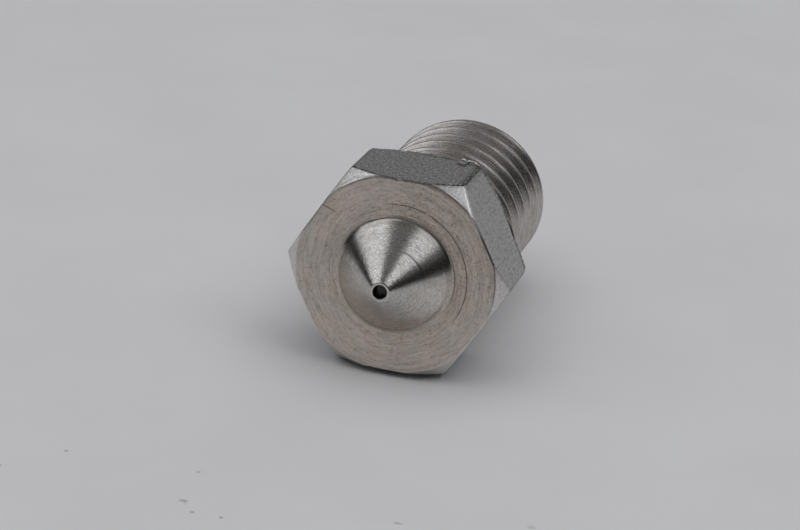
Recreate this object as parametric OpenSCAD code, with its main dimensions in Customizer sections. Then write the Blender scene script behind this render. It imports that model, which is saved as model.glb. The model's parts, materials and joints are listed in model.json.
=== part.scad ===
// A screw-in nozzle for a filament printer's hot end, turned in one piece from hexagonal bar.
// Its axis lies along Y. The tip points along -Y and the threaded shank along +Y.
// The origin is on the axis, in the flat end of the shank that seals against the heat break.

/* [Hexagon] */
// Width across the flats, which is the spanner size
across_flats = 7; // [6.6:0.1:10]
// Length of the hexagon along the axis
hex_l = 3.5; // [2:0.1:6]
// Diameter of the round face left inside the front chamfer
front_face_d = 7.14; // [6.2:0.02:7.4]
// Slope of the front chamfer, measured from the face
front_chamfer_angle = 53; // [20:1:60]
// Diameter of the round face left inside the back chamfer
back_face_d = 7; // [6.4:0.02:7.4]
// Slope of the back chamfer, measured from the face
back_chamfer_angle = 41; // [15:1:60]

/* [Tip] */
// Length of the cone, from the hexagon's face to the flat land
cone_l = 1.9; // [1:0.05:4]
// Diameter of the cone where it meets the hexagon
cone_base_d = 4.1; // [3:0.1:5.5]
// Diameter of the flat land around the outlet
land_d = 0.7; // [0.6:0.05:1.2]

/* [Thread] */
// Major diameter of the thread
thread_d = 6; // [5:0.25:7]
// Distance from one turn of the thread to the next
thread_pitch = 1; // [0.75:0.05:1.25]
// Length of the shank, from the hexagon to the end
shank_l = 7.6; // [5:0.1:12]
// How far the neck's surface lies below the bottom of the thread
neck_relief = 0.09; // [0:0.01:0.3]
// Length of the plain neck between the hexagon and the thread
neck_l = 1; // [0.6:0.1:2]
// Radial size of the 45 degree chamfer that starts the thread
lead_in = 0.4; // [0.2:0.05:0.7]

/* [Passage] */
// Diameter of the filament that the nozzle takes
filament_d = 1.75; // [1.5:0.05:2]
// Gap between the filament and the bore's wall, all round
filament_gap = 0.125; // [0.05:0.025:0.2]
// Diameter of the outlet hole
outlet_d = 0.5; // [0.2:0.05:0.5]
// Length of the outlet hole
outlet_l = 0.6; // [0.3:0.1:1]
// Full angle of the cone between the bore and the outlet
melt_angle = 60; // [50:5:118]
// Width of the 45 degree edge break at the bore's mouth
mouth_break = 0.2; // [0.1:0.05:0.4]

/* [Hidden] */
$fn = 96;

thread_steps = 36;               // flat steps in one turn of the thread
flank_slope = tan(30);           // half of the thread's 60 degree angle
thread_depth = 0.6134 * thread_pitch;
root_w = 0.1666 * thread_pitch;  // flat width at the bottom of the groove
crest_clear = 0.04;              // how far the groove's cutter stands out past the crest
cut_past = 0.5;                  // how far a cutter runs past the face that it opens

corner_r = across_flats / 2 / cos(30);
thread_r = thread_d / 2;
root_r = thread_r - thread_depth;
neck_r = root_r - neck_relief;
bore_r = filament_d / 2 + filament_gap;
outlet_r = outlet_d / 2;
tip_y = -hex_l - cone_l;
melt_y = tip_y + outlet_l;                                       // the outlet ends here
bore_y = melt_y + (bore_r - outlet_r) / tan(melt_angle / 2);     // the full bore starts here
front_break = (corner_r - front_face_d / 2) * tan(front_chamfer_angle);
back_break = (corner_r - back_face_d / 2) * tan(back_chamfer_angle);

// Outline of the thread's groove as [radius, place along the axis], widest at the crest.
function groove_w(r) = root_w + 2 * (r - root_r) * flank_slope;
cutter_r = thread_r + crest_clear;
groove = [[cutter_r, -groove_w(cutter_r) / 2], [root_r, -root_w / 2],
          [root_r, root_w / 2], [cutter_r, groove_w(cutter_r) / 2]];

// Turns a profile, given as [radius, place along the axis], about the nozzle's axis.
module turned(profile) {
  rotate([-90, 0, 0]) rotate_extrude() polygon(profile);
}

// The spanner hexagon, with two flats level and its corners chamfered on the lathe.
module hexagon() {
  intersection() {
    rotate([90, 0, 0]) cylinder(h = hex_l, r = corner_r, $fn = 6);
    turned([[0, -hex_l], [front_face_d / 2, -hex_l], [corner_r, -hex_l + front_break],
            [corner_r, -back_break], [back_face_d / 2, 0], [0, 0]]);
  }
}

// The cone that ends in the flat land around the outlet. It starts inside the hexagon.
module cone() {
  seat_y = -hex_l / 2;
  turned([[0, tip_y], [land_d / 2, tip_y], [cone_base_d / 2, -hex_l],
          [cone_base_d / 2, seat_y], [0, seat_y]]);
}

// The shank before its thread is cut: a neck, a full diameter and a chamfered end.
module shank_blank() {
  turned([[0, -hex_l / 2], [neck_r, -hex_l / 2], [neck_r, neck_l],
          [thread_r, neck_l + thread_r - neck_r], [thread_r, shank_l - lead_in],
          [thread_r - lead_in, shank_l], [0, shank_l]]);
}

// A right-hand helical cutter. It starts in the neck's clearance and runs out past the end.
module thread_cutter() {
  start = groove_w(cutter_r) / 2 + 0.05;
  turns = (shank_l - start) / thread_pitch + 1;
  steps = ceil(turns * thread_steps);
  sides = len(groove);
  points = [for (i = [0:steps]) for (p = groove)
    let (a = i * 360 / thread_steps)
    [p[0] * cos(a), p[0] * sin(a), start + p[1] + thread_pitch * i / thread_steps]];
  skin = [for (i = [0:steps - 1]) for (j = [0:sides - 1])
    let (k = (j + 1) % sides, a = i * sides, b = a + sides)
    each [[a + j, b + j, b + k], [a + j, b + k, a + k]]];
  first = [for (j = [0:sides - 1]) j];
  last = [for (j = [sides - 1:-1:0]) steps * sides + j];
  rotate([-90, 0, 0]) polyhedron(points, concat(skin, [first, last]), convexity = 10);
}

// The filament's way through: mouth, bore, melt cone and outlet.
module passage() {
  turned([[0, tip_y - cut_past], [outlet_r, tip_y - cut_past], [outlet_r, melt_y], [bore_r, bore_y],
          [bore_r, shank_l - mouth_break], [bore_r + mouth_break + cut_past, shank_l + cut_past],
          [0, shank_l + cut_past]]);
}

// The pieces above count their lengths from the hexagon's back face, so the whole is moved here.
module nozzle() {
  color([0.62, 0.6, 0.58]) translate([0, -shank_l, 0]) difference() {
    union() {
      hexagon();
      cone();
      difference() {
        shank_blank();
        thread_cutter();
      }
    }
    passage();
  }
}

nozzle();
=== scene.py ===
import json
import math

import bpy
import numpy as np
from mathutils import Matrix, Vector


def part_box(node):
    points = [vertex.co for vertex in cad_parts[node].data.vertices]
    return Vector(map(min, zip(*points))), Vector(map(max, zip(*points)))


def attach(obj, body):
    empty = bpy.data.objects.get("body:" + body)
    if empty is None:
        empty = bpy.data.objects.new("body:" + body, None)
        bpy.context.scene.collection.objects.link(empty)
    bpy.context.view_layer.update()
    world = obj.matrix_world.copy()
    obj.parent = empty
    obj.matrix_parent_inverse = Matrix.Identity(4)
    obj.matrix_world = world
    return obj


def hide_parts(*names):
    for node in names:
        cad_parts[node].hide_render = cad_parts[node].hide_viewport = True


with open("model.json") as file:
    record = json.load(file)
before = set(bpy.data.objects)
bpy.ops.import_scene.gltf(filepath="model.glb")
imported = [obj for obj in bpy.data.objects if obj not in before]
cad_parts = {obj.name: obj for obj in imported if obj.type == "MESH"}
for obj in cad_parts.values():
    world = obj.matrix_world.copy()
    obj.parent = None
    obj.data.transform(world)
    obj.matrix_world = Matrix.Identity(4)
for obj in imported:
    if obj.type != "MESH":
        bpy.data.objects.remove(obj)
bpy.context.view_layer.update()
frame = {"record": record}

# ---------------------------------------------------------------------------------------------
# The nozzle: one solid piece of stainless steel, cut from hexagonal bar on a lathe. The cone, the
# face and its chamfer are turned, the flats are left as drawn, and the shank is threaded with a
# die. It is drilled right through, with a fine outlet in the tip.
# ---------------------------------------------------------------------------------------------
mm = 0.001
low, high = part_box("nozzle")
mount = {m["name"]: m for m in frame["record"]["mounts"]}

flat_r = high[2]                                  # centre to a flat
corner_r = flat_r / math.cos(math.pi / 6)
tip_y, end_y = low[1], high[1]
cone_length = 1.9 * mm
hex_length = 3.5 * mm
face_y = tip_y + cone_length
back_y = face_y + hex_length
land_r = 0.35 * mm
cone_base_r = 2.05 * mm
face_r = 3.57 * mm                                # the chamfer starts here
face_off_centre = 0.03 * mm                       # the bar ran a hair out of true in the chuck
face_chamfer = math.tan(math.radians(53))
back_r = 3.5 * mm
back_chamfer = math.tan(math.radians(41))
corner_round = 0.14 * mm                          # the drawn bar's corner radius
rim = 0.03 * mm                                   # narrowest the chamfers get, mid-flat
edge = 0.012 * mm                                 # radius of the small edge roundings

thread_r = mount["thread"]["dims"]["r_mm"] * mm
pitch = 1.0 * mm
thread_depth = 0.6134 * pitch                     # a metric thread's depth for its pitch
root_r = thread_r - thread_depth
neck_relief = 0.09 * mm
neck_r = root_r - neck_relief
neck_length = 1.0 * mm
lead_in = 0.4 * mm
groove_at = 0.51 * mm                             # first groove's middle, from the hexagon's back

outlet_r = mount["outlet"]["dims"]["r_mm"] * mm
outlet_length = mount["outlet"]["dims"]["length_mm"] * mm
bore_r = mount["filament_bore"]["dims"]["r_mm"] * mm
bore_half = mount["filament_bore"]["dims"]["length_mm"] * mm / 2
bore_from = mount["filament_bore"]["pos_m"][1] - bore_half
mouth_break = 0.2 * mm

# Columns round the axis, evenly spaced, with extra ones that round the six corners.
even_columns = 288
even = np.arange(even_columns) * 2 * math.pi / even_columns
beside = np.radians([-1.1, -0.7, -0.35, 0.35, 0.7, 1.1])
extra = np.concatenate([math.radians(60 * k) + beside for k in range(6)]) % (2 * math.pi)
around = np.sort(np.concatenate([even, extra]))
columns = len(around)
all_round = np.ones(columns)


def wander(seed, angle, place, waves, size):
    """Smooth noise, mostly between -2 and 2, that closes on itself round the axis."""
    rng = np.random.default_rng(seed)
    total = np.zeros(np.broadcast(angle, place).shape)
    for _ in range(waves):
        turns = rng.integers(2, int(2 * math.pi * flat_r / size) + 3)
        pace = rng.normal() * 2 * math.pi / size
        total = total + np.sin(angle * turns + place * pace + rng.uniform(0, 2 * math.pi))
    return total * 1.2 / math.sqrt(waves)


def tool_marks(seed, count, depth):
    """How far the tool cut below the surface in each ring, in metres."""
    rng = np.random.default_rng(seed)
    fine, slow = rng.uniform(0, 1, count), rng.uniform(0, 1, count + 8)
    slow = np.convolve(slow, np.ones(9) / 9, "valid")
    return depth * (0.6 * fine + 1.6 * (slow - slow.min()))


def hexagon_radius(angle):
    """Distance from the axis to the drawn bar's surface, with its corners rounded."""
    # angle from the nearest corner
    off = (angle + math.pi / 6) % (math.pi / 3) - math.pi / 6
    seat = (flat_r - corner_round) / math.cos(math.pi / 6)
    reach = corner_round * corner_round - (seat * np.sin(off)) ** 2
    rounded = seat * np.cos(off) + np.sqrt(np.maximum(reach, 0))
    touch = math.atan2(corner_round * 0.5, seat + corner_round * math.cos(math.pi / 6))
    straight = flat_r / np.cos(math.pi / 6 - np.abs(off))
    return np.where(np.abs(off) < touch, rounded, straight)


hexagon = hexagon_radius(around)
# How hard the flats' front and rear edges are knocked, from 0 to 1.
knock_waves = 40
nicks = np.clip(wander(3, around, 0.0, knock_waves, 0.35 * mm) - 0.55, 0, 1)
rear_nicks = np.clip(wander(8, around, 0.0, knock_waves, 0.3 * mm) - 0.45, 0, 1)
front_rim = rim * (1 + 1.2 * nicks)
face_edge = np.minimum(face_r + face_off_centre * np.sin(around), hexagon - front_rim)
chamfer_end = face_y + (hexagon - face_edge) * face_chamfer
back_edge = np.minimum(back_r, hexagon - rim * (1 + rear_nicks))
flat_end = back_y - (hexagon - back_edge) * back_chamfer

vertices, faces, finish_of = [], [], []
BORE, LAND, CONE, FACE, CHAMFER, FLAT, BACK, THREAD, SEAT = range(9)


def ring(radius, place):
    """Adds one ring of points, given as distance from the axis and place along it."""
    first = sum(len(v) for v in vertices)
    radius, place = all_round * radius, all_round * place
    # the mesh's own Z is the nozzle's axis
    vertices.append(np.stack([radius * np.cos(around), -radius * np.sin(around), place], -1))
    return first + np.arange(columns)


def join(a, b, finish):
    """Closes the band between two rings."""
    for j in range(columns):
        k = (j + 1) % columns
        faces.append((a[j], b[j], b[k], a[k]))
        finish_of.append(finish)


def surface(last, rings, finish):
    """Carries the surface on through more rings of one finish."""
    for radius, place in rings:
        new = ring(radius, place)
        join(last, new, finish)
        last = new
    return last


start = ring(outlet_r, tip_y + outlet_length)
last = surface(start, [(outlet_r, tip_y + outlet_length / 2), (outlet_r, tip_y + 2 * edge),
                       (outlet_r + 0.4 * edge, tip_y + 0.6 * edge)], BORE)
last = surface(last, [(outlet_r + 1.5 * edge, tip_y), ((outlet_r + land_r) / 2, tip_y + 0.1 * edge),
                      (land_r - 2 * edge, tip_y), (land_r - 0.6 * edge, tip_y + 0.5 * edge)], LAND)

cone_rings = 42
base_room = 0.14 * mm                             # left for the radius or the groove at the base
cone_stop = cone_base_r - base_room
slope = math.atan2(cone_base_r - land_r, cone_length)
cut = tool_marks(11, cone_rings, 0.0009 * mm)
cut[:5] += np.array([0, 0.012, 0, 0.009, 0]) * mm  # two deeper turns just under the land
last = surface(last, [(r - c * math.cos(slope),
                       face_y - (cone_base_r - r) / math.tan(slope) + c * math.sin(slope))
                      for r, c in zip(np.linspace(land_r, cone_stop, cone_rings + 1)[1:], cut)], CONE)

# The tool dug in where the cone meets the face, but only on one side. Elsewhere it left a radius.
dug_toward = math.radians(42)
dug = np.clip(1.6 * np.cos(around - dug_toward), 0, 1)
groove_depth, groove_width = 0.05 * dug ** 0.5 * mm, 0.075 * mm
groove_in = cone_base_r + groove_depth * math.tan(slope)
groove_lip = 0.05 * mm
face_from = cone_base_r + base_room
groove = [(cone_base_r - groove_lip, face_y - groove_lip / math.tan(slope)),
          (groove_in, face_y + groove_depth),
          (groove_in + 0.5 * groove_width, face_y + groove_depth),
          (groove_in + groove_width, face_y + 0.2 * groove_depth), (face_from, face_y)]
stop_y = face_y - base_room / math.tan(slope)
for n, (radius, place) in enumerate(groove):
    t = (n + 1) / len(groove)
    soft_r = cone_stop + (face_from - cone_stop) * t
    soft_y = (1 - t) ** 2 * stop_y + (1 - (1 - t) ** 2) * face_y
    last = surface(last, [(radius * dug + soft_r * (1 - dug), place * dug + soft_y * (1 - dug))],
                   CONE if n < 3 else FACE)
face_to = 3.36 * mm                               # the tool marks stop short of the rim
face_rings = 34
cut = tool_marks(5, face_rings, 0.0016 * mm)
last = surface(last, [(face_from + (face_to - face_from) * (n + 1) / face_rings, face_y + cut[n])
                      for n in range(face_rings)], FACE)
last = surface(last, [(face_to + (face_edge - edge - face_to) * t, face_y) for t in (0.5, 1)], FACE)
last = surface(last, [(face_edge + 0.35 * edge, face_y + 0.45 * edge)], CHAMFER)

chamfer_from = face_y + 1.5 * edge
chamfer_rows = [(face_edge + (hexagon - face_edge) * t,
                 chamfer_from + (chamfer_end - chamfer_from) * t) for t in (0.12, 0.5, 0.9)]
last = surface(last, chamfer_rows, CHAMFER)

dent = 0.006 * mm * nicks
last = surface(last, [(hexagon - 0.3 * edge - dent, chamfer_end + 0.3 * edge),
                      (hexagon - dent, chamfer_end + 0.035 * mm)], FLAT)
flat_rows = 16
rear_room = 0.35 * mm                             # left for the damage along the rear edge
drawn_depth = 0.0011 * mm
for t in (np.arange(flat_rows) + 0.5) / flat_rows:
    place = chamfer_end + (flat_end - rear_room - chamfer_end) * t
    drawn = drawn_depth * (1 + wander(21, around, place, 30, 0.45 * mm))
    last = surface(last, [(hexagon - np.maximum(drawn, 0), place)], FLAT)

# The rear edge is knocked all round, with a pit in the top flat and a gouge in the right one.
pit_x, pit_width = 1.32 * mm, 0.13 * mm
pit = np.exp(-((hexagon * np.cos(around) - pit_x) / pit_width) ** 2) * (np.sin(around) > 0)
gouge_toward, gouge_spread = math.radians(18), 0.09
gouge = np.exp(-((around - gouge_toward) / gouge_spread) ** 2)
chip = (0.03 * rear_nicks + 0.12 * pit + 0.09 * gouge) * mm
last = surface(last, [(hexagon - 0.1 * chip, flat_end - 0.3 * mm),
                      (hexagon - 0.7 * chip, flat_end - 0.12 * mm)], FLAT)
last = surface(last, [(hexagon - 0.3 * edge - chip, flat_end - 0.3 * edge)], FLAT)
last = surface(last, [(hexagon - edge - chip, flat_end + 0.6 * edge),
                      ((hexagon + back_edge) / 2, (flat_end + back_y) / 2),
                      (back_edge, back_y - edge)], CHAMFER)
last = surface(last, [(back_edge - 2 * edge, back_y), ((back_edge + neck_r) / 2, back_y),
                      (neck_r + 4 * edge, back_y), (neck_r + edge, back_y + edge),
                      (neck_r, back_y + 4 * edge)], BACK)

# The thread is a helical band of rows. Its rows follow the groove, and where they run past the
# neck or the end they close on a plain ring there.
thread_from = back_y + 0.9 * neck_length
flank_slope = math.tan(math.radians(30))
root_half = 0.0833 * pitch                        # half of the flat at the groove's bottom
crest_half = root_half + thread_depth * flank_slope


def thread_surface(angle, place):
    """Distance from the axis to the threaded shank's surface."""
    turn = pitch * angle / (2 * math.pi)
    off = np.abs((place + turn - back_y - groove_at + pitch / 2) % pitch - pitch / 2)
    helix = root_r + np.clip(off - root_half, 0, crest_half - root_half) / flank_slope
    blank = neck_r + np.maximum(place - back_y - neck_length, 0)
    ending = thread_r - np.maximum(place - (end_y - lead_in), 0)
    return np.minimum(np.minimum(helix, blank), np.minimum(ending, thread_r))


half_rows = np.array([0.05, 0.075, 0.095, 0.14, 0.2, 0.26, 0.32, 0.38, 0.42, 0.45, 0.5])
row_places = np.concatenate([-half_rows[-2::-1], [0], half_rows]) * pitch
rows_per_turn = len(row_places)
thread_length = end_y - thread_from
turns = math.ceil(thread_length / pitch) + 3
row_y = np.concatenate([row_places + k * pitch for k in range(turns)])
row_y += back_y + groove_at - math.ceil((back_y + groove_at - thread_from) / pitch + 1) * pitch
neck_ring = ring(thread_surface(around, thread_from), thread_from)
join(last, neck_ring, THREAD)
end_ring = ring(thread_surface(around, end_y), end_y)
places = row_y[:, None] - pitch * around[None, :] / (2 * math.pi)
snap = 0.006 * mm                                 # points nearer than this join a plain ring
number = sum(len(v) for v in vertices)
ids = np.empty((len(row_y), columns), int)
thread_points = []
for i in range(len(row_y)):
    for j in range(columns):
        y = places[i, j]
        if y < thread_from + snap:
            ids[i, j] = neck_ring[j]
        elif y > end_y - snap:
            ids[i, j] = end_ring[j]
        else:
            r = thread_surface(around[j], y)
            ids[i, j] = number
            number += 1
            thread_points.append((r * math.cos(around[j]), -r * math.sin(around[j]), y))
vertices.append(np.array(thread_points))
for i in range(rows_per_turn, len(row_y) - 1):
    for j in range(columns):
        k = (j + 1) % columns
        back = rows_per_turn if k == 0 else 0
        corners = [ids[i, j], ids[i + 1, j], ids[i + 1 - back, k], ids[i - back, k]]
        corners = [c for n, c in enumerate(corners) if c != corners[n - 1]]
        if len(corners) > 2:
            faces.append(tuple(corners))
            finish_of.append(THREAD)

# The flat end, the bore's mouth, the bore and the cone that narrows to the outlet.
end_outer = thread_surface(around, end_y)
mouth_r = bore_r + mouth_break
last = surface(end_ring, [(end_outer - 2 * edge, end_y), (2.2 * mm, end_y),
                          (1.7 * mm, end_y), (mouth_r + 2 * edge, end_y),
                          (mouth_r, end_y - 0.4 * edge)], SEAT)
bore_rings = np.linspace(end_y - mouth_break, bore_from, 8)
last = surface(last, [(bore_r, y) for y in bore_rings], BORE)
melt_rings = [(bore_r + (outlet_r - bore_r) * t, bore_from + (tip_y + outlet_length - bore_from) * t)
              for t in (0.33, 0.66)]
last = surface(last, melt_rings, BORE)
join(last, start, BORE)

# A curl of metal raised behind the top flat, near its right-hand corner. It is a closed, wavy
# strand, thickest in its middle.
curl_steps, curl_sides = 26, 8
curl_from, curl_length = 1.18 * mm, 0.8 * mm
curl_r = 0.055 * mm
for i in range(curl_steps + 1):
    t = i / curl_steps
    x = curl_from + curl_length * t
    middle_y = back_y - (math.hypot(x, flat_r) - back_r) * back_chamfer
    middle_y += (0.03 + 0.07 * math.sin(11 * t)) * mm
    thick = curl_r * (math.sin(math.pi * t) ** 0.5 * (0.75 + 0.25 * math.sin(19 * t)) + 0.03)
    turn = np.arange(curl_sides) * 2 * math.pi / curl_sides
    up = flat_r + (0.05 * math.sin(math.pi * t) + 0.02 * math.sin(15 * t)) * mm + thick * np.sin(turn)
    first = sum(len(v) for v in vertices)
    vertices.append(np.stack([x + 0 * turn, -up, middle_y + thick * np.cos(turn)], -1))
    here = [first + k for k in range(curl_sides)]
    if i == 0:
        faces.append(tuple(reversed(here)))
        finish_of.append(CHAMFER)
    else:
        for k in range(curl_sides):
            n = (k + 1) % curl_sides
            faces.append((before[k], before[n], here[n], here[k]))
            finish_of.append(CHAMFER)
    before = here
faces.append(tuple(before))
finish_of.append(CHAMFER)

mesh = bpy.data.meshes.new("nozzle_body")
mesh.from_pydata(np.concatenate(vertices).tolist(), [], faces)
nozzle = bpy.data.objects.new("nozzle_body", mesh)
bpy.context.scene.collection.objects.link(nozzle)
nozzle.rotation_euler = (math.radians(-90), 0, 0)
mesh.polygons.foreach_set("use_smooth", [True] * len(faces))
mesh.polygons.foreach_set("material_index", finish_of)
mesh.validate()
weighted = nozzle.modifiers.new("even_shading", "WEIGHTED_NORMAL")
weighted.mode, weighted.weight = "FACE_AREA", 50


class Wire:
    """A node's output socket that can be used in plain arithmetic."""

    def __init__(self, finish, socket):
        self.finish, self.socket = finish, socket

    def maths(self, operation, *values):
        return self.finish.node("ShaderNodeMath", {"operation": operation}, *values)

    def __add__(self, other):
        return self.maths("ADD", self, other)

    def __sub__(self, other):
        return self.maths("SUBTRACT", self, other)

    def __rsub__(self, other):
        return self.maths("SUBTRACT", other, self)

    def __mul__(self, other):
        return self.maths("MULTIPLY", self, other)

    def __truediv__(self, other):
        return self.maths("DIVIDE", self, other)

    def __pow__(self, other):
        return self.maths("POWER", self, other)

    __radd__, __rmul__ = __add__, __mul__

    def at_least(self, other):
        return self.maths("MAXIMUM", self, other)

    def distance(self):
        return self.maths("ABSOLUTE", self)

    def between(self, low, high):
        """0 below low, 1 above high, and smooth between them."""
        return self.finish.node("ShaderNodeMapRange", {"interpolation_type": "SMOOTHSTEP"},
                                self, low, high, 0.0, 1.0)


class Finish:
    """One material and the nodes that make its look. On the nozzle, x points right, y down and z
    along the axis, in millimetres, and radius is the distance from the axis."""

    def __init__(self, name, **uniform):
        self.material = bpy.data.materials.new(name)
        self.material.use_nodes = True
        self.tree = self.material.node_tree
        self.shader = self.tree.nodes["Principled BSDF"]
        for key, value in uniform.items():
            self.shader.inputs[key.replace("_", " ").title().replace("Ior", "IOR")].default_value = value
        place = self.node("ShaderNodeTexCoord", {}, output="Object")
        place = self.node("ShaderNodeVectorMath", {"operation": "SCALE"}, place, Scale=1 / mm)
        x, y, z = (self.node("ShaderNodeSeparateXYZ", {}, place, output=k) for k in "XYZ")
        self.place, self.x, self.y, self.z = place, x, y, z
        self.radius = (x * x + y * y) ** 0.5

    def put(self, value, socket):
        """Feeds a node's input with a wire, or sets it to a number or a colour."""
        if isinstance(value, Wire):
            self.tree.links.new(value.socket, socket)
        else:
            socket.default_value = value

    def node(self, kind, settings, *values, output=0, **named):
        """Adds a node: its settings first, then the values or links of its inputs."""
        node = self.tree.nodes.new(kind)
        for key, value in settings.items():
            setattr(node, key, value)
        for key, value in [*enumerate(values), *named.items()]:
            self.put(value, node.inputs[key])
        return Wire(self, node.outputs[output])

    def vector(self, x, y, z):
        return self.node("ShaderNodeCombineXYZ", {}, x, y, z)

    def noise(self, place, scale, detail=3.0, roughness=0.55):
        return self.node("ShaderNodeTexNoise", {}, Vector=place, Scale=scale, Detail=detail,
                         Roughness=roughness)

    def mix(self, amount, first, second):
        """A colour between two colours, each a wire or three numbers."""
        node = self.tree.nodes.new("ShaderNodeMix")
        node.data_type = "RGBA"
        self.put(amount, node.inputs[0])
        for key, colour in ((6, first), (7, second)):
            self.put(colour if isinstance(colour, Wire) else (*colour, 1), node.inputs[key])
        return Wire(self, node.outputs[2])

    def feed(self, socket, wire):
        self.put(wire, self.shader.inputs[socket])

    def bump(self, height, depth):
        """Raises the surface by height times depth, in metres."""
        normal = self.node("ShaderNodeBump", {}, Strength=1.0, Distance=depth, Height=height)
        self.feed("Normal", normal)

    def ring_marks(self, scale, run=0.5):
        """Fine lines round the axis, each fading in and out along its length."""
        way = self.vector(self.x / self.radius * run, self.y / self.radius * run,
                          self.radius * scale + self.z * scale)
        return self.noise(way, 1.0, 4.0, 0.7)

    def scratch(self, radius, width, toward, spread):
        """A line round the axis at one radius, over part of a turn. toward is right and up."""
        away = (self.radius - radius).distance()
        return (1 - away.between(width * 0.4, width)) * self.facing(*toward).between(spread, spread + 0.25)

    def facing(self, right, up):
        """1 where the surface lies in this direction from the axis, and -1 opposite it."""
        return (self.x * right - self.y * up) / self.radius


def turned_face():
    """The lathe-turned face: dull, with rings that fade in and out and brown smudges, and painted shade
    next to the cone and on its upper-right side.
    """
    f = Finish("turned_face", metallic=1.0, anisotropic=0.4)
    fine, streak, rings = f.ring_marks(19.0, 10.0), f.ring_marks(8.0, 3.0), f.ring_marks(13.0, 1.2)
    smudge = f.noise(f.place, 1.5, 4.0, 0.6)
    spots, grain = f.noise(f.place, 7.0, 2.0, 0.5), f.noise(f.place, 15.0, 2.0, 0.6)
    pink, grey, brown = (0.70, 0.605, 0.555), (0.63, 0.595, 0.54), (0.25, 0.19, 0.155)
    # painted shade: browner next to the cone's base, in the corner, and on the face's upper-right side
    shade_near_cone = 1 - f.radius.between(2.15, 2.8)
    upper_right = f.facing(0.64, 0.77).between(0.3, 0.95)
    amount = (streak.between(0.35, 0.68) * 0.20 + shade_near_cone * 0.14 + fine.between(0.42, 0.66) * 0.30
              + rings.between(0.42, 0.60) * 0.20 + spots.between(0.60, 0.74) * 0.3
              + grain.between(0.48, 0.66) * (0.14 + upper_right * 0.20) + upper_right * 0.12 - 0.13)
    colour = f.mix(amount, f.mix(smudge.between(0.38, 0.62), pink, grey), brown)
    cut = f.scratch(2.59, 0.028, (0.80, 0.60), 0.30) * spots.between(0.3, 0.4)
    # a short straight nick at the upper left, from the rim inwards
    across = f.y * 0.931 - f.x * 0.364 + 0.965
    along = f.x * 0.931 + f.y * 0.364
    line = across.between(-0.035, 0.0) * (1 - across.between(0.0, 0.035))
    nick = line * (1 - along.between(-3.0, -2.75))
    f.feed("Base Color", f.mix(cut.at_least(nick) * 0.85, colour, (0.08, 0.065, 0.055)))
    f.feed("Roughness", 0.26 + fine * 0.16)
    f.bump(fine + streak + rings, 0.006 * mm)
    return f.material


def turned_cone():
    """The turned cone: a finer, brighter cut than the face, with a frosted grain, painted light on its
    lower side and painted shade at its base.
    """
    f = Finish("turned_cone", metallic=1.0, anisotropic=0.35)
    marks, fine = f.ring_marks(14.0, 8.0), f.ring_marks(18.0, 4.0)
    grain = f.noise(f.place, 21.0, 1.0, 0.5) * 0.4 + f.ring_marks(15.0, 13.0) * 0.6
    smudge = f.noise(f.place, 1.8, 4.0, 0.6)
    cut = f.scratch(1.30, 0.026, (0.72, 0.69), 0.80) * 0.9
    # painted light: the cone's lower side is made lighter
    below = f.y.between(-0.4, 0.5) * f.radius.between(0.7, 1.75)
    colour = f.mix(smudge.between(0.35, 0.68), (0.57, 0.545, 0.52), (0.50, 0.485, 0.45))
    colour = f.mix(below * 0.7, colour, (0.76, 0.70, 0.645))
    colour = f.mix(fine.between(0.54, 0.58) * 0.5, colour, (0.20, 0.185, 0.17))
    colour = f.mix(grain.between(0.50, 0.60) * 0.34, colour, (0.22, 0.21, 0.20))
    colour = f.mix((1 - grain.between(0.38, 0.46)) * 0.55, colour, (0.90, 0.88, 0.85))
    # painted shade: the cone darkens towards its base, in the corner where it meets the face
    colour = f.mix(f.radius.between(1.86, 1.95) * 0.42, colour, (0.34, 0.30, 0.265))
    f.feed("Base Color", f.mix(cut, colour, (0.06, 0.055, 0.05)))
    f.feed("Roughness", 0.14 + grain * 0.08)
    f.bump(marks * 0.6 + grain, 0.0055 * mm)
    return f.material


def faced_land():
    """The small faced ring round the outlet, the cleanest cut on the nozzle."""
    f = Finish("faced_land", metallic=1.0, anisotropic=0.3)
    marks = f.ring_marks(60.0, 2.0)
    f.feed("Base Color", f.mix(marks, (0.66, 0.64, 0.61), (0.54, 0.52, 0.49)))
    f.feed("Roughness", 0.22 + marks * 0.1)
    f.bump(marks, 0.0010 * mm)
    return f.material


def drawn_flat():
    """The bar's own skin, drawn and pickled: matt and speckled, with knocked and scuffed edges, and a
    painted reflection that lightens the right-hand flat.
    """
    f = Finish("drawn_flat", metallic=1.0)
    grain = f.noise(f.vector(f.x, f.y, f.z * 0.45), 12.0, 2.0, 0.65)
    nick = f.noise(f.place, 7.5, 2.0, 0.6)
    patches = f.noise(f.place, 0.9, 3.0, 0.6)
    specks = grain.between(0.59, 0.66) * patches.between(0.30, 0.5)
    # painted reflection: the right-hand flat is made lighter, with fewer bright specks and darker grain
    # lines
    right = f.x.between(2.0, 2.2) * (1 - f.y.between(-0.1, 0.1))
    colour = f.mix(grain.between(0.28, 0.58), (0.19, 0.19, 0.19), (0.49, 0.488, 0.49))
    colour = f.mix(right * 0.50, colour, (0.76, 0.74, 0.735))
    colour = f.mix(specks * (0.65 - right * 0.35), colour, (0.88, 0.87, 0.86))
    colour = f.mix(right * (1 - grain.between(0.34, 0.42)) * 0.45, colour, (0.14, 0.14, 0.14))
    worn, colour = knocked_edges(f, nick, colour)
    f.feed("Base Color", colour)
    f.feed("Roughness", 0.30 + grain * 0.2)
    f.bump(grain + worn * nick, 0.015 * mm)
    return f.material


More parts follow.
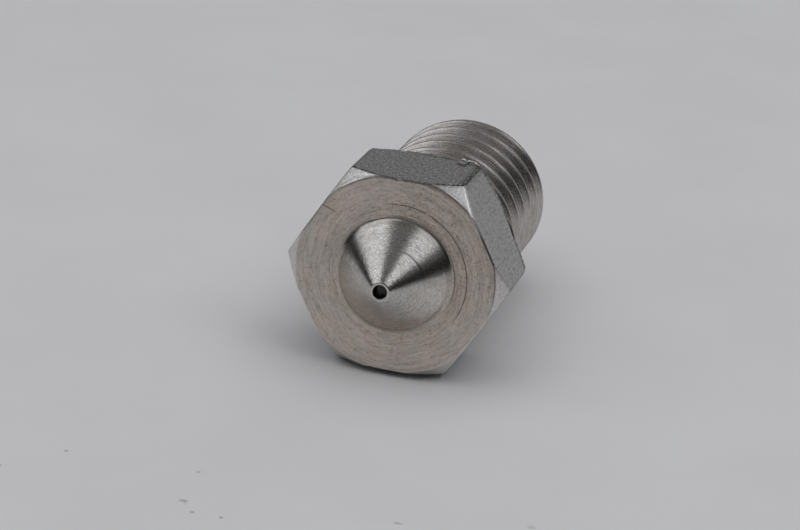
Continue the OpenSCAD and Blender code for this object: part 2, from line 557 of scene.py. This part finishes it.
def knocked_edges(f, nick, colour):
    """How worn the flats' edges are, from 0 to 1, and the flats' colour with those marks and with painted
    shade in the gouge and the pit.
    """
    dark, bright = (0.06, 0.06, 0.06), (0.95, 0.94, 0.93)
    up = 0 - f.y
    from_front = f.z - face_y / mm - (f.radius - face_r / mm).at_least(rim / mm) * face_chamfer
    from_rear = back_y / mm - (f.radius - back_r / mm).at_least(rim / mm) * back_chamfer - f.z
    from_middle = (f.radius * f.radius - (flat_r / mm) ** 2).at_least(0) ** 0.5
    from_corner = corner_r / mm / 2 - from_middle
    on_top = up.between(3.44, 3.49)
    upper_right = on_top * f.x.between(1.0, 1.6)
    scuffed = (1 - from_corner.between(0.04, 0.12 + upper_right * 0.18)) * (0.5 + upper_right * 0.5)
    by_chamfer = f.radius.between(3.60, 3.68) * (1 - on_top)
    front = (1 - from_front.between(0.03, 0.09)) * (1 - by_chamfer)
    rear = (1 - from_rear.between(0.10, 0.30)) * f.x.between(-1.0, 0.4)
    worn = scuffed.at_least(front.at_least(rear))
    colour = f.mix(worn * nick.between(0.38, 0.48), colour, dark)
    colour = f.mix(worn * nick.between(0.60, 0.66), colour, bright)
    bruised = up.between(2.3, 2.5) * (1 - on_top) * f.x.between(1.9, 2.1)
    colour = f.mix(bruised * (1 - from_front.between(0.03, 0.09)), colour, bright)
    # the gouge and the pit are real dents in the mesh; their dark colour is painted shade
    gouge_shade = f.x.between(2.8, 3.1) * up.between(0.5, 0.8) * (1 - up.between(1.4, 1.7))
    colour = f.mix(gouge_shade * (1 - from_rear.between(0.12, 0.36)), colour, dark)
    torn = up.between(3.2, 3.3) * (1 - from_rear.between(0.45, 0.7))
    pit_shade = torn * f.x.between(1.10, 1.25) * (1 - f.x.between(1.45, 1.60))
    return worn, f.mix(pit_shade, colour, (0.05, 0.05, 0.05))


def turned_chamfer():
    """The chamfers, turned in one light pass, so smooth and bright with a fine grain, with painted light
    on their lower side and painted highlights near the top.
    """
    f = Finish("turned_chamfer", metallic=1.0, anisotropic=0.35)
    marks = f.ring_marks(12.0, 9.0)
    grain = f.noise(f.place, 13.0, 2.0, 0.6)
    colour = f.mix(grain.between(0.3, 0.7) * 0.7, (0.72, 0.70, 0.69), (0.46, 0.445, 0.43))
    # painted light: the chamfers' lower side is made lighter
    colour = f.mix(f.y.between(0.5, 2.5) * 0.6, colour, (0.92, 0.86, 0.82))
    behind_face = f.z - face_y / mm
    # darker along the chamfers' front edge, on the upper-right side
    dark_front_edge = (1 - behind_face.between(0.02, 0.07)) * f.facing(0.64, 0.77).between(0.3, 0.7)
    colour = f.mix(dark_front_edge * 0.75, colour, (0.08, 0.07, 0.06))
    up = 0 - f.y
    # painted highlights: a bright strip on the chamfer by the upper-right flat, and along the top of the
    # back chamfer and the curl
    painted_highlight = (f.x * 0.866 + up * 0.5).between(3.40, 3.46) * up.between(1.9, 2.1)
    painted_highlight = painted_highlight.at_least(up.between(3.44, 3.5) * behind_face.between(1.5, 2.0))
    f.feed("Base Color", f.mix(painted_highlight, colour, (0.97, 0.96, 0.95)))
    f.feed("Roughness", 0.24 + marks * 0.12)
    f.bump(marks + grain, 0.008 * mm)
    return f.material


def shoulder():
    """The hexagon's back and the neck behind it, parted off and left rougher."""
    f = Finish("shoulder", metallic=1.0, anisotropic=0.3)
    marks = f.ring_marks(12.0, 3.0)
    f.feed("Base Color", f.mix(marks.between(0.3, 0.7), (0.52, 0.49, 0.46), (0.36, 0.33, 0.30)))
    f.feed("Roughness", 0.28 + marks * 0.18)
    f.bump(marks, 0.006 * mm)
    return f.material


def cut_thread():
    """The thread as the die left it: shiny flanks with lines that run along the groove."""
    f = Finish("cut_thread", metallic=1.0, anisotropic=0.35)
    marks = f.ring_marks(16.0, 5.0)
    grain = f.noise(f.place, 16.0, 3.0, 0.6)
    tint = f.noise(f.place, 1.3, 4.0, 0.6)
    colour = f.mix(tint.between(0.35, 0.65), (0.60, 0.57, 0.555), (0.50, 0.455, 0.425))
    f.feed("Base Color", f.mix(marks.between(0.45, 0.7) * 0.6, colour, (0.30, 0.27, 0.25)))
    f.feed("Roughness", 0.17 + grain * 0.16)
    f.bump(marks + grain * 0.5, 0.008 * mm)
    return f.material


def seal_face():
    """The faced end that seals against the heat break."""
    f = Finish("seal_face", metallic=1.0, anisotropic=0.45)
    marks, streak = f.ring_marks(22.0, 5.0), f.ring_marks(7.0, 2.0)
    f.feed("Base Color", f.mix(streak.between(0.35, 0.7) * 0.7, (0.60, 0.565, 0.535), (0.42, 0.38, 0.35)))
    f.feed("Roughness", 0.22 + marks * 0.16)
    f.bump(marks + streak, 0.004 * mm)
    return f.material


def drilled_bore():
    """The drilled passage, rough and dark, with painted shade that makes it darkest in the outlet."""
    f = Finish("drilled_bore", metallic=1.0)
    marks = f.ring_marks(9.0, 3.0)
    soot = f.noise(f.place, 3.0, 3.0, 0.6)
    # painted shade: the bore darkens to near black towards the narrow outlet
    outlet_shade = 1 - f.radius.between(0.3, 0.9)
    colour = f.mix(soot.between(0.3, 0.7), (0.20, 0.155, 0.13), (0.08, 0.06, 0.05))
    f.feed("Base Color", f.mix(outlet_shade, colour, (0.03, 0.024, 0.02)))
    f.feed("Roughness", 0.32 + marks * 0.16)
    f.bump(marks, 0.008 * mm)
    return f.material


for material in (drilled_bore(), faced_land(), turned_cone(), turned_face(), turned_chamfer(),
                 drawn_flat(), shoulder(), cut_thread(), seal_face()):
    mesh.materials.append(material)

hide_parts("nozzle")
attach(nozzle, "root")

# ---------------------------------------------------------------------------------------------
# The surface that the nozzle lies on. It rests on the hexagon's back lower edge and on the last
# turn of the thread, so the floor rises a little towards the shank.
# ---------------------------------------------------------------------------------------------
last_crest_y = end_y - lead_in
tilt = math.atan2(flat_r - thread_r, last_crest_y - back_y)
floor_half = 1.5
squares = 8
grid = np.linspace(-floor_half, floor_half, squares + 1)
floor_points = [(x, y, 0) for y in grid for x in grid]
row = squares + 1
floor_mesh = bpy.data.meshes.new("floor")
floor_mesh.from_pydata(floor_points, [], [(n, n + 1, n + 1 + row, n + row)
                                     for j in range(squares) for n in range(j * row, j * row + squares)])
floor = bpy.data.objects.new("floor", floor_mesh)
bpy.context.scene.collection.objects.link(floor)
floor.rotation_euler = (tilt, 0, 0)
floor_gap = 0.005 * mm
floor.location = (0, back_y, -flat_r - floor_gap)


def pale_board():
    """Matt white board, a little cloudy, with a few faint specks and short fibres in front."""
    f = Finish("pale_board", roughness=0.75, specular_ior_level=0.2)
    cloud = f.noise(f.place, 0.12, 3.0, 0.55)
    sway = f.noise(f.place, 0.5, 2.0, 0.5)
    strand = f.vector(f.x * 0.5 + f.y * 0.15, f.y + sway * 2.0, 0.0)
    in_front = 1 - f.y.between(-14, -11)
    dust = (0.32, 0.30, 0.29)
    # away is the distance to a speck's middle, and pick is that speck's own random number
    colour = f.mix(cloud.between(0.3, 0.7), (0.785, 0.78, 0.795), (0.81, 0.81, 0.825))
    for place, scale, size in ((f.place, 0.40, 0.040), (strand, 0.36, 0.036)):
        away, pick = (f.node("ShaderNodeTexVoronoi", {"voronoi_dimensions": "2D"}, Vector=place,
                             Scale=scale, output=o) for o in ("Distance", "Color"))
        speck = (1 - away.between(size * 0.4, size)) * pick.between(0.50, 0.54) * in_front
        colour = f.mix(speck * 0.6, colour, dust)
    f.feed("Base Color", colour)
    return f.material


floor_mesh.materials.append(pale_board())

# ---------------------------------------------------------------------------------------------
# Plain soft studio light: a wide soft box on the left that lights only the nozzle, a narrower one
# on the right, two soft fills that light only the floor, and a dim room all round.
# ---------------------------------------------------------------------------------------------
aim = Vector((0, face_y, 0))


def soft_box(name, azimuth, elevation, distance, width, height, radiance, colour,
             mirrored=True, lights_floor=True):
    """A flat soft light that faces the nozzle. Azimuth 0 is in front of the tip, 90 to the right."""
    a, e = math.radians(azimuth), math.radians(elevation)
    way = Vector((math.sin(a) * math.cos(e), -math.cos(a) * math.cos(e), math.sin(e)))
    lamp = bpy.data.lights.new(name, "AREA")
    lamp.shape, lamp.size, lamp.size_y = "RECTANGLE", width, height
    lamp.energy, lamp.color = radiance * math.pi * width * height, colour
    box = bpy.data.objects.new(name, lamp)
    box.location = aim + way * distance
    box.rotation_euler = way.to_track_quat("Z", "Y").to_euler()
    box.visible_camera, box.visible_glossy, box.visible_diffuse = False, mirrored, lights_floor
    bpy.context.scene.collection.objects.link(box)


cool = (0.97, 0.99, 1.03)
soft_box("left_box", azimuth=-68, elevation=42, distance=0.5, width=0.55, height=0.42,
         radiance=0.84, colour=cool, lights_floor=False)
soft_box("right_box", azimuth=66, elevation=53, distance=0.5, width=0.34, height=0.30,
         radiance=0.74, colour=cool)
soft_box("top_fill", azimuth=25, elevation=80, distance=0.6, width=0.95, height=0.95,
         radiance=0.72, colour=(1, 1, 1), mirrored=False)
soft_box("left_fill", azimuth=-60, elevation=42, distance=0.6, width=0.55, height=0.42,
         radiance=0.42, colour=(1, 1, 1.02), mirrored=False)

world = bpy.data.worlds.new("room")
world.use_nodes = True
bpy.context.scene.world = world
sky = world.node_tree
sky.nodes.clear()


def sky_node(kind, settings, *values):
    """Adds a node to the room's light: its settings first, then its inputs in their order."""
    node = sky.nodes.new(kind)
    for key, value in settings.items():
        setattr(node, key, value)
    for n, value in enumerate(values):
        if isinstance(value, bpy.types.NodeSocket):
            sky.links.new(value, node.inputs[n])
        else:
            node.inputs[n].default_value = value
    return node


direction = sky_node("ShaderNodeTexCoord", {}).outputs["Generated"]
axes = sky_node("ShaderNodeSeparateXYZ", {}, direction).outputs
low_wall, ceiling, wall_behind = 0.016, 0.17, 0.20  # how brightly each part of the room glows
smooth = {"interpolation_type": "SMOOTHSTEP"}
upward = sky_node("ShaderNodeMapRange", smooth, axes["Z"], 0.25, 0.6, low_wall, ceiling).outputs[0]
behind = sky_node("ShaderNodeMapRange", smooth, axes["Y"], 0.2, 0.85, 0.0, wall_behind).outputs[0]
room = sky_node("ShaderNodeMath", {"operation": "ADD"}, upward, behind).outputs[0]
room_glow = sky_node("ShaderNodeBackground", {}, (1, 1, 1, 1), room).outputs[0]
wall_glow = sky_node("ShaderNodeBackground", {}, (0.478, 0.478, 0.488, 1), 1.0).outputs[0]
seen = sky_node("ShaderNodeLightPath", {}).outputs["Is Camera Ray"]
blend = sky_node("ShaderNodeMixShader", {}, seen, room_glow, wall_glow).outputs[0]
sky_node("ShaderNodeOutputWorld", {}, blend)

# ---------------------------------------------------------------------------------------------
# The camera looks down on the tip from the right, close up with a long lens.
# ---------------------------------------------------------------------------------------------
azimuth, elevation, roll = map(math.radians, (13.07, 18.83, 5.865))
reach = 100 * mm
aim_right, aim_up = 0.2 * mm, 0.34 * mm           # where it aims, from the face's middle
face_rise = 0.041 * mm                            # the turned face's middle, above the hexagon's
back_way = Vector((math.sin(azimuth) * math.cos(elevation), -math.cos(azimuth) * math.cos(elevation),
                   math.sin(elevation)))
right = Vector((0, 0, 1)).cross(back_way).normalized()
up = back_way.cross(right)
right_rolled = right * math.cos(roll) + up * math.sin(roll)
up_rolled = up * math.cos(roll) - right * math.sin(roll)
eye = bpy.data.cameras.new("camera")
eye.lens, eye.sensor_width = 130.0, 36.0
eye.clip_start, eye.clip_end = 0.005, 5.0
camera = bpy.data.objects.new("camera", eye)
camera.matrix_world = Matrix((right_rolled, up_rolled, back_way)).transposed().to_4x4()
face_middle = Vector((0, face_y, face_rise))
camera.location = face_middle + right_rolled * aim_right + up_rolled * aim_up + back_way * reach
bpy.context.scene.collection.objects.link(camera)
bpy.context.scene.camera = camera
bpy.context.scene.view_settings.view_transform = "Standard"
